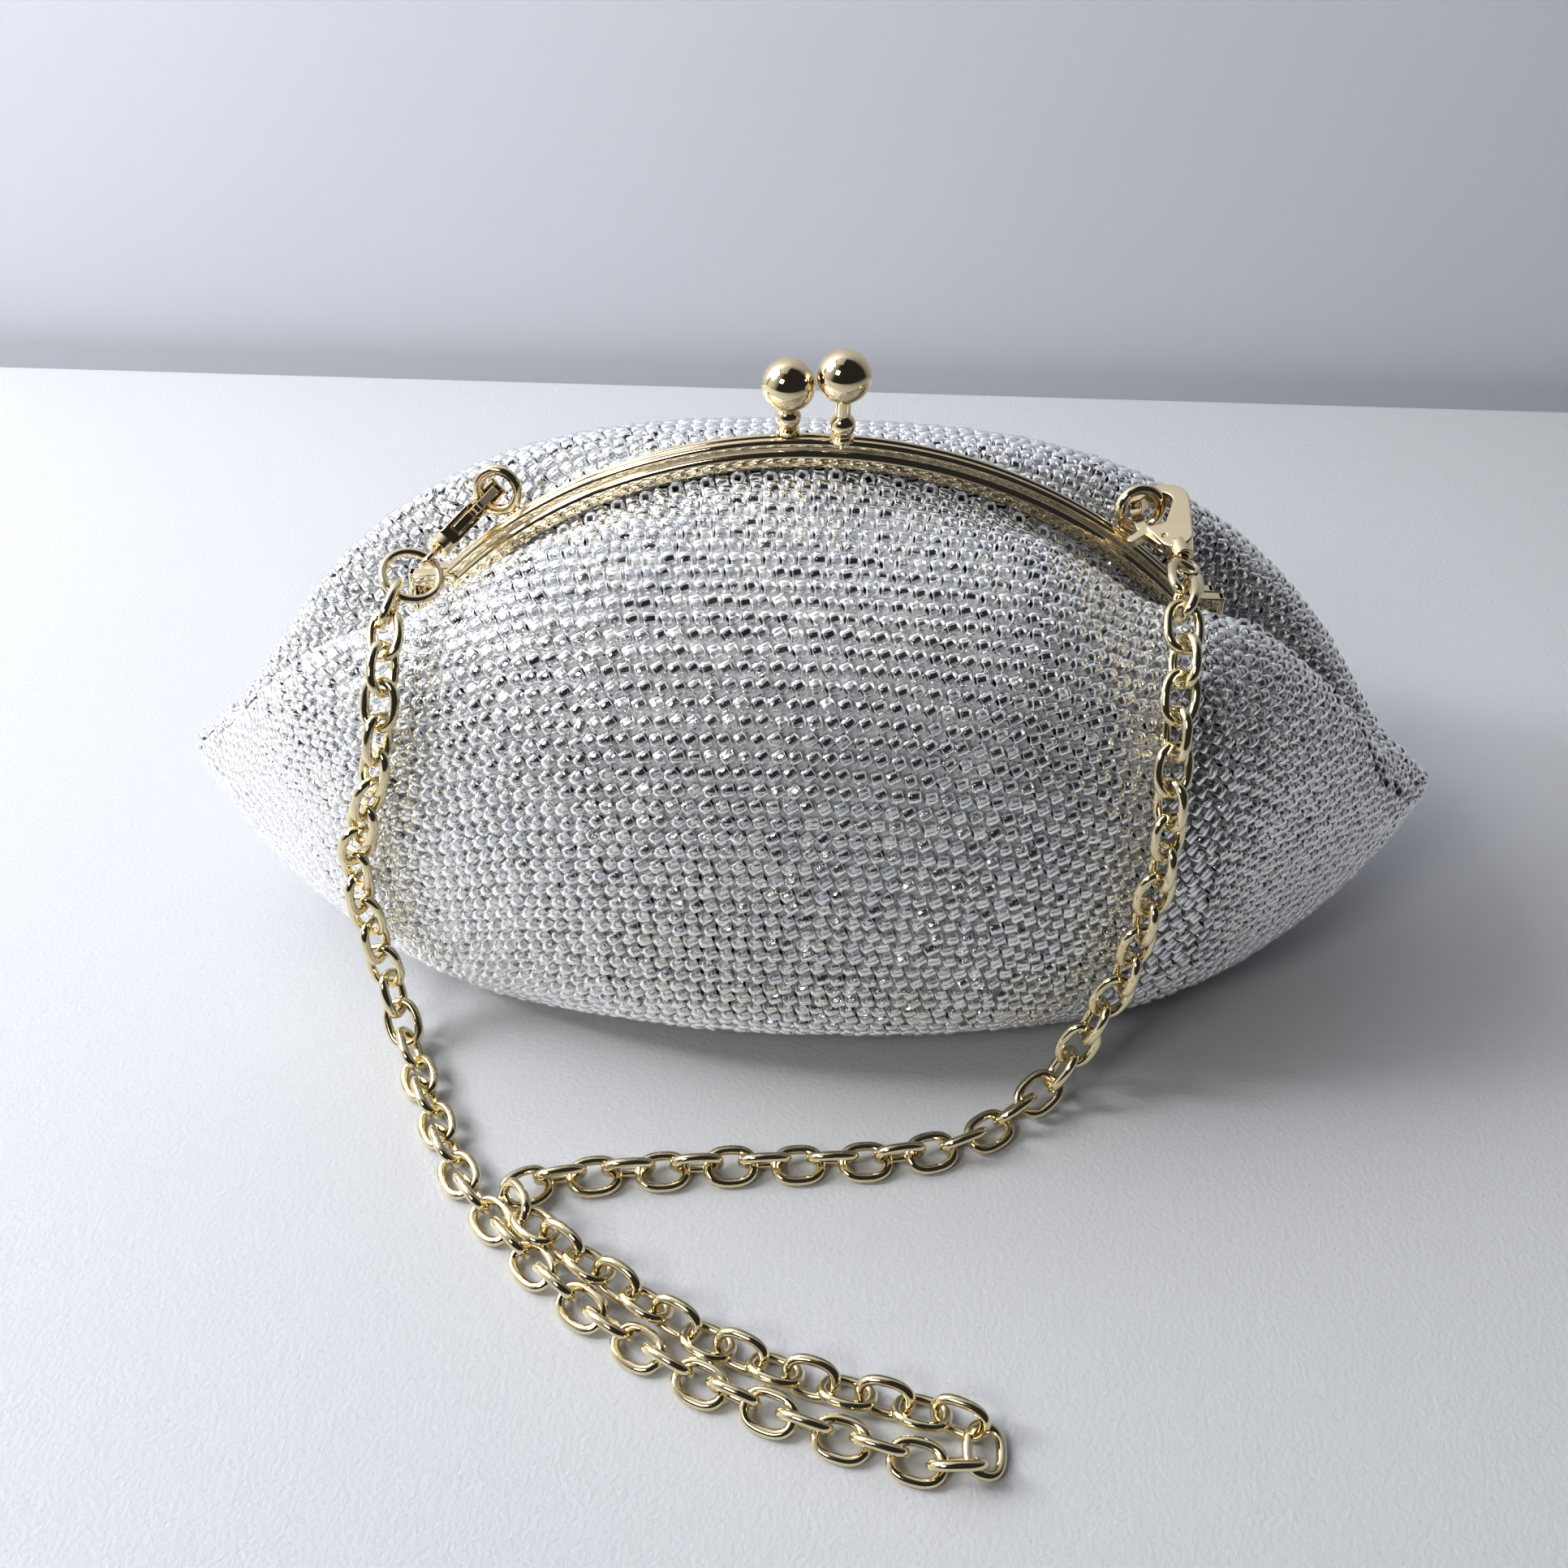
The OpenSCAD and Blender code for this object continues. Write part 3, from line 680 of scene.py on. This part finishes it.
def beads_of(back=False):
    """Bead places, their row direction, outward normal, and distance down the cloth, in mm."""
    table, squeeze = rows(back)
    pos, tan, nor, depth = [], [], [], []
    for k, row in enumerate(table):
        ok = ~np.isnan(row[:, 0])
        if ok.sum() < 4:
            continue
        idx = np.where(ok)[0]
        for run in np.split(idx, np.where(np.diff(idx) > 1)[0] + 1):
            if len(run) < 4:
                continue
            p = row[run]
            s = np.concatenate([[0], np.cumsum(np.linalg.norm(np.diff(p, axis=0), axis=1))])
            mid = np.interp(0.0, p[:, 0], s) if p[0, 0] < 0 < p[-1, 0] else s[-1] / 2
            off = mid + (k % 2) * 0.28 * STEP
            at = np.arange(off - math.floor((off - 0.4) / STEP) * STEP, s[-1] - 0.4, STEP)
            if not len(at):
                continue
            q = np.stack([np.interp(at, s, p[:, c]) for c in range(3)], 1)
            q2 = np.stack([np.interp(np.minimum(at + 0.8, s[-1]), s, p[:, c]) for c in range(3)], 1)
            q1 = np.stack([np.interp(np.maximum(at - 0.8, 0), s, p[:, c]) for c in range(3)], 1)
            t = unit(q2 - q1)
            # the direction down the cloth, from the row below or above
            other = table[k + 1] if k + 1 < len(table) else table[k - 1]
            sign = 1 if k + 1 < len(table) else -1
            ok2 = ~np.isnan(other[:, 0])
            oth = other.copy()
            if ok2.sum() < 4:
                other, sign = table[k - 1], -1
                ok2 = ~np.isnan(other[:, 0])
                oth = other.copy()
            good = np.where(ok2)[0]
            o = np.stack([np.interp(q[:, 0], other[good, 0], oth[good, c]) for c in range(3)], 1)
            inside = (q[:, 0] >= other[good, 0].min()) & (q[:, 0] <= other[good, 0].max())
            down = sign * (o - q)
            prev = table[k - 1] if k else None
            if prev is not None:
                g = np.where(~np.isnan(prev[:, 0]))[0]
                o2 = np.stack([np.interp(q[:, 0], prev[g, 0], prev[g, c]) for c in range(3)], 1)
                down = np.where(inside[:, None], down, q - o2)
            n = unit(np.cross(down, t))
            pos.append(q), tan.append(t), nor.append(n)
            depth.append(np.full(len(q), (k + 0.5) * ROW))
    pos, tan, nor, depth = np.vstack(pos), np.vstack(tan), np.vstack(nor), np.concatenate(depth)
    return pos, tan, nor, depth


def smooth01(t):
    t = np.clip(t, 0, 1)
    return t * t * (3 - 2 * t)


def bead_mesh(sides=12):
    """One tube bead in its own axes, along X: round glass outside, a square hole through it."""
    R, H, S = 1.44, 1.17, 0.60
    th = np.linspace(0, 2 * math.pi, sides, endpoint=False) + math.pi / sides
    ring = np.stack([0 * th, np.cos(th), np.sin(th)], 1)
    vs, n = [], sides
    for x, r in ((-H, 0.80 * R), (-H + 0.24, R), (H - 0.24, R), (H, 0.80 * R)):
        vs.append(ring * r + [x, 0, 0])
    q = np.radians([45, 135, 225, 315])
    sq = np.stack([0 * q, np.cos(q), np.sin(q)], 1) * S * math.sqrt(2)
    vs.append(sq + [-H, 0, 0])
    vs.append(sq + [H, 0, 0])
    v = np.vstack(vs)
    i = np.arange(n)
    j = (i + 1) % n
    quads = []
    for r in range(3):
        quads.append(np.stack([r * n + i, r * n + j, (r + 1) * n + j, (r + 1) * n + i], 1)[:, ::-1])
    k = np.arange(4)
    k2 = (k + 1) % 4
    inner = np.stack([4 * n + k, 4 * n + k2, 4 * n + 4 + k2, 4 * n + 4 + k], 1)
    tris = []
    # join each end ring to its square, ring corner by ring corner
    near = [int(np.argmin(np.linalg.norm(sq[:, 1:] - 0.8 * R * ring[a, 1:], axis=1))) for a in range(n)]
    for base_r, base_s, flip in ((0, 4 * n, False), (3 * n, 4 * n + 4, True)):
        for a in range(n):
            b = (a + 1) % n
            f = [[base_r + a, base_r + b, base_s + near[a]]]
            if near[b] != near[a]:
                f.append([base_r + b, base_s + near[b], base_s + near[a]])
            for t in f:
                tris.append(t[::-1] if not flip else t)
    tris = np.array(tris)
    return v, np.vstack(quads), inner, tris


SIDES = 10
BV, BQ, BI, BT = bead_mesh(SIDES)


def place_beads(name, pos, tan, nor, dep):
    """All the beads of one side, split into three meshes. Each is tilted in the cloth, as its stitch holds it, and
    turned a little.
    """
    n = len(pos)
    tilt = np.radians(9 + 19 * smooth01((dep - 6) / 42) + rng.normal(0, 6, n))
    lean = np.radians(rng.normal(6, 5, n))
    col = unit(np.cross(nor, tan))
    ax = unit(tan * np.cos(tilt)[:, None] + col * np.sin(tilt)[:, None] - nor * np.tan(lean)[:, None])
    # every other bead under the frame is sewn on end, so its round end shows
    on_end = (dep < 2) & (np.abs(pos[:, 0]) < 68) & (np.arange(n) % 2 == 0)
    on_end |= (pos[:, 0] > 74) & (pos[:, 1] < -9) & (pos[:, 1] > -17) & (nor[:, 2] > 0.2) & (rng.random(n) < 0.75)
    out = unit(nor * 0.55 + np.array([0, -0.75, 0.55]) * np.sign(-pos[:, 1:2]) * [1, 1, 0] + [0, 0, 0.55] + rng.normal(0, 0.08, (n, 3)))
    ax = np.where(on_end[:, None], out, ax)
    b0 = unit(np.where(on_end[:, None], col, nor) - (np.where(on_end[:, None], col, nor) * ax).sum(1, keepdims=True) * ax)
    c0_ = np.cross(ax, b0)
    spin = np.radians(np.where(rng.random(n) < 0.28, rng.uniform(-45, 45, n), rng.normal(0, 11, n)))
    b = b0 * np.cos(spin)[:, None] + c0_ * np.sin(spin)[:, None]
    c = np.cross(ax, b)
    size = 1 + rng.normal(0, 0.025, n)
    long = 1 + rng.normal(0, 0.05, n)
    p = pos + rng.normal(0, 0.09, (n, 3))
    v = (p[:, None, :] + BV[None, :, 0:1] * long[:, None, None] * ax[:, None, :]
         + BV[None, :, 1:2] * size[:, None, None] * b[:, None, :] + BV[None, :, 2:3] * size[:, None, None] * c[:, None, :])
    shade = rng.random(n)
    m0, nv = 4 * SIDES, len(BV)

    def sharp(e):
        a, b_ = e[:, 0] % nv, e[:, 1] % nv
        return ((a >= m0) & (b_ >= m0)) | ((a < SIDES) & (b_ < SIDES)) | ((a >= m0 - SIDES) & (a < m0) & (b_ >= m0 - SIDES) & (b_ < m0))

    made = []
    for k_, part in enumerate(np.array_split(np.arange(n), 3)):
        c = len(part)
        off = (np.arange(c) * nv)[:, None, None]
        quads, inner, tris = (BQ[None] + off).reshape(-1, 4), (BI[None] + off).reshape(-1, 4), (BT[None] + off).reshape(-1, 3)
        mi = np.concatenate([np.zeros(len(quads), int), np.ones(len(inner), int), np.full(len(tris), 2)])
        ob = add_mesh(f"{name}_{k_ + 1}", v[part].reshape(-1, 3) * MM, [quads, inner, tris], [GLASS, SILVER, RIM], mi, True, sharp)
        vertex_value(ob, "bead", np.repeat(shade[part], nv))
        made.append((ob, np.repeat(part, nv)))
    return made


def ride_front(ob):
    """Cloth of the front: its transform is baked into its mesh."""
    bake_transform(ob)


def seam():
    """Beads that close the seam of the underside and the two tips, where the last rows of front and back end."""
    ends = []
    for back in (False, True):
        table, _ = rows(back)
        last = np.array([table[np.where(~np.isnan(table[:, i, 0]))[0][-1], i, 1] for i in range(len(XS))])
        ends.append(last if not back else -last[::-1])
    run = np.stack([XS, 0 * XS, under(np.abs(XS) / HW) + INSET], 1)
    s = np.concatenate([[0], np.cumsum(np.linalg.norm(np.diff(run, axis=0), axis=1))])
    pos, tan, nor = [], [], []
    for at in np.arange(1.2, s[-1] - 0.8, STEP):
        x, z = np.interp(at, s, run[:, 0]), np.interp(at, s, run[:, 2])
        t = unit(np.array([np.interp(at + 0.8, s, run[:, k]) - np.interp(at - 0.8, s, run[:, k]) for k in range(3)]))
        y0, y1 = np.interp(x, XS, ends[0]), np.interp(x, XS, ends[1])
        mid, gap = (y0 + y1) / 2, y1 - y0
        for y in () if gap < 4.2 else (0.0,) if gap < 7.0 else (-1.45, 1.45):
            pos.append([x, mid + y, z]), tan.append(t), nor.append(np.cross(t, [0, 1.0, 0]))
    for sx in (-1, 1):
        for x, z in ((129.7, 33.7), (130.0, 36.5), (129.5, 39.2)):
            pos.append([sx * x, 0, z]), tan.append([0, 1.0, 0]), nor.append([sx, 0, 0])
    nor = np.array(nor)
    nor[np.abs(nor[:, 0]) < 0.9] *= -np.sign(nor[np.abs(nor[:, 0]) < 0.9][:, 2:3])
    return np.array(pos), np.array(tan), nor, np.full(len(pos), 6.0)


f_pos, f_tan, f_nor, f_dep = beads_of(False)
b_pos, b_tan, b_nor, b_dep = beads_of(True)
turn = np.array([-1.0, -1.0, 1.0])
b_pos, b_tan, b_nor = b_pos * turn, b_tan * turn, b_nor * turn
s_pos, s_tan, s_nor, s_dep = seam()
b_pos, b_tan, b_nor, b_dep = np.vstack([b_pos, s_pos]), np.vstack([b_tan, s_tan]), np.vstack([b_nor, s_nor]), np.concatenate([b_dep, s_dep])
front_parts = place_beads("beads_front", f_pos, f_tan, f_nor, f_dep)
back_parts = place_beads("beads_back", b_pos, b_tan, b_nor, b_dep)
for ob, who in front_parts:
    ride_front(ob)
for ob, _ in back_parts:
    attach(ob, "bag")
print("beads", len(f_pos), len(b_pos), "seam", len(s_pos))


# ------------------------------------------------------------------ knitted ground and lining
def shell(name, t0, t1, mat, back=False, nx=150, na=110, raise_lip=0.0, reach=None):
    """A closed thin shell of one half of the pouch, between t0 and t1 below the outer surface."""
    reach = reach or (HW - t0 - 0.6)
    xs = reach * np.sin(np.radians(np.linspace(-88, 88, nx))) / math.sin(math.radians(88))
    layers, deps = [], []
    for t in (t0, t1):
        grid, dep = np.zeros((nx, na, 3)), np.zeros((nx, na))
        for i, x in enumerate(xs):
            a = np.linspace(90, 270, 420)
            p = pouch(x, a, t, not back)
            lip = 1.5 * (1 - float(np.clip((abs(x) - 71) / 3.5, 0, 1)))
            j = int(np.argmax(-p[:, 1] >= lip))
            p = p[j:]
            s = np.concatenate([[0], np.cumsum(np.linalg.norm(np.diff(p, axis=0), axis=1))])
            want = np.linspace(0, s[-1], na)
            grid[i] = np.stack([np.interp(want, s, p[:, q]) for q in range(3)], 1)
            dep[i] = want
        layers.append(grid)
        deps.append(dep)
    v = np.concatenate([g.reshape(-1, 3) for g in layers])
    d = np.concatenate([g.ravel() for g in deps])
    if back:
        v = v * turn
    n = nx * na
    i, j = np.meshgrid(np.arange(nx - 1), np.arange(na - 1), indexing="ij")
    quad = np.stack([i * na + j, i * na + j + 1, (i + 1) * na + j + 1, (i + 1) * na + j], -1).reshape(-1, 4)
    edge = []
    loop = [(i_, 0) for i_ in range(nx)] + [(nx - 1, j_) for j_ in range(1, na)] + [(i_, na - 1) for i_ in range(nx - 2, -1, -1)] + [(0, j_) for j_ in range(na - 2, 0, -1)]
    ids = np.array([a * na + b for a, b in loop])
    nxt = np.roll(ids, -1)
    edge = np.stack([ids, nxt, nxt + n, ids + n], 1)
    faces = np.vstack([quad, quad[:, ::-1] + n, edge])
    ob = add_mesh(name, v * MM, [faces], [mat])
    return ob, v[:, 0], d


ground_f, gx, gd = shell("ground_front", 2.3, 2.9, KNIT, reach=HW - 1.0)
ride_front(ground_f)
ground_b, _, _ = shell("ground_back", 2.3, 2.9, KNIT, back=True, reach=HW - 1.0)
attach(ground_b, "bag")
lin_f, lx_, ld_ = shell("lining_front", 3.6, 4.1, SATIN)
ride_front(lin_f)
lin_b, _, _ = shell("lining_back", 3.6, 4.1, SATIN, back=True)
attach(lin_b, "bag")
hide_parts("pouch")
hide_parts("lining")

# ------------------------------------------------------------------ stage and light
def stage_material(name, col, rough, scale, strength):
    mt, nt, out = material(name)
    p = node(nt, "ShaderNodeBsdfPrincipled", Roughness=rough)
    tc = nt.nodes.new("ShaderNodeTexCoord")
    no = node(nt, "ShaderNodeTexNoise", Scale=scale, Detail=3.0)
    soft = node(nt, "ShaderNodeTexNoise", Scale=3.0, Detail=2.0)
    nt.links.new(tc.outputs["Object"], no.inputs["Vector"])
    nt.links.new(tc.outputs["Object"], soft.inputs["Vector"])
    ramp = nt.nodes.new("ShaderNodeValToRGB")
    ramp.color_ramp.elements[0].color = (col[0] * 0.96, col[1] * 0.96, col[2] * 0.97, 1)
    ramp.color_ramp.elements[1].color = (*col, 1)
    nt.links.new(soft.outputs["Fac"], ramp.inputs["Fac"])
    nt.links.new(ramp.outputs["Color"], p.inputs["Base Color"])
    bump = node(nt, "ShaderNodeBump", Strength=strength, Distance=0.0004)
    nt.links.new(no.outputs["Fac"], bump.inputs["Height"])
    nt.links.new(bump.outputs["Normal"], p.inputs["Normal"])
    nt.links.new(p.outputs["BSDF"], out.inputs["Surface"])
    return mt


def slab(name, lo, hi, mat, bev=0.0):
    x0, y0, z0 = lo
    x1, y1, z1 = hi
    v = np.array([[x, y, z] for x in (x0, x1) for y in (y0, y1) for z in (z0, z1)])
    f = np.array([[0, 1, 3, 2], [4, 6, 7, 5], [0, 4, 5, 1], [2, 3, 7, 6], [0, 2, 6, 4], [1, 5, 7, 3]])
    ob = add_mesh(name, v, [f], [mat], None, False)
    if bev:
        b = ob.modifiers.new("round", "BEVEL")
        b.width = bev
        b.segments = 4
    return ob


TABLE = stage_material("table_top", (0.64, 0.65, 0.665), 0.42, 1000.0, 0.40)
WALL = stage_material("wall", (0.66, 0.68, 0.73), 0.85, 260.0, 0.15)
slab("table", (-1.6, -1.2, -0.03), (1.6, 0.247, 0.0), TABLE, 0.003)
slab("backdrop", (-2.2, 0.262, -0.6), (2.2, 0.30, 1.6), WALL)


def area(name, loc, aim, size, power, col=(1, 1, 1)):
    d = bpy.data.lights.new(name, "AREA")
    d.shape = "RECTANGLE"
    d.size, d.size_y = size
    d.energy = power
    d.color = col
    ob = bpy.data.objects.new(name, d)
    bpy.context.scene.collection.objects.link(ob)
    loc, aim = np.array(loc, float), np.array(aim, float)
    z = unit(loc - aim)
    x = unit(np.cross([0, 0, 1.0], z))
    y = np.cross(z, x)
    mw = Matrix.Identity(4)
    for i in range(3):
        mw[i][0], mw[i][1], mw[i][2], mw[i][3] = x[i], y[i], z[i], loc[i]
    ob.matrix_world = mw
    return ob


area("window", (-0.98, 0.10, 0.86), (0, 0, 0.03), (0.65, 0.75), 13.2, (0.97, 0.98, 1.0))
area("front_fill", (-0.55, -0.75, 0.80), (0, 0, 0.04), (0.30, 0.30), 3.2, (1.0, 0.99, 0.97))
area("ceiling", (-0.25, 0.12, 1.35), (0, 0, 0), (0.9, 0.6), 0.6, (0.95, 0.97, 1.0))
area("wall_glow", (-0.75, -0.1, 0.55), (-0.5, 0.27, 0.75), (0.3, 0.3), 12.0, (0.97, 0.98, 1.0))

world = bpy.data.worlds.new("room")
bpy.context.scene.world = world
world.use_nodes = True
wn = world.node_tree
wn.nodes.clear()
wo = wn.nodes.new("ShaderNodeOutputWorld")
bg = wn.nodes.new("ShaderNodeBackground")
tcw = wn.nodes.new("ShaderNodeTexCoord")
dot = wn.nodes.new("ShaderNodeVectorMath")
dot.operation = "DOT_PRODUCT"
dot.inputs[1].default_value = (-0.84, 0.46, 0.28)
wn.links.new(tcw.outputs["Generated"], dot.inputs[0])
rampw = wn.nodes.new("ShaderNodeValToRGB")
rampw.color_ramp.elements[0].position = 0.66
rampw.color_ramp.elements[0].color = (0.022, 0.023, 0.025, 1)
rampw.color_ramp.elements[1].position = 0.97
rampw.color_ramp.elements[1].color = (1.0, 1.0, 1.0, 1)
mr = wn.nodes.new("ShaderNodeMapRange")
mr.inputs["From Min"].default_value = -1.0
mr.inputs["From Max"].default_value = 1.0
wn.links.new(dot.outputs["Value"], mr.inputs["Value"])
wn.links.new(mr.outputs["Result"], rampw.inputs["Fac"])
wn.links.new(rampw.outputs["Color"], bg.inputs["Color"])
bg.inputs["Strength"].default_value = 1.0
wn.links.new(bg.outputs["Background"], wo.inputs["Surface"])
bpy.context.scene.view_settings.view_transform = "Standard"
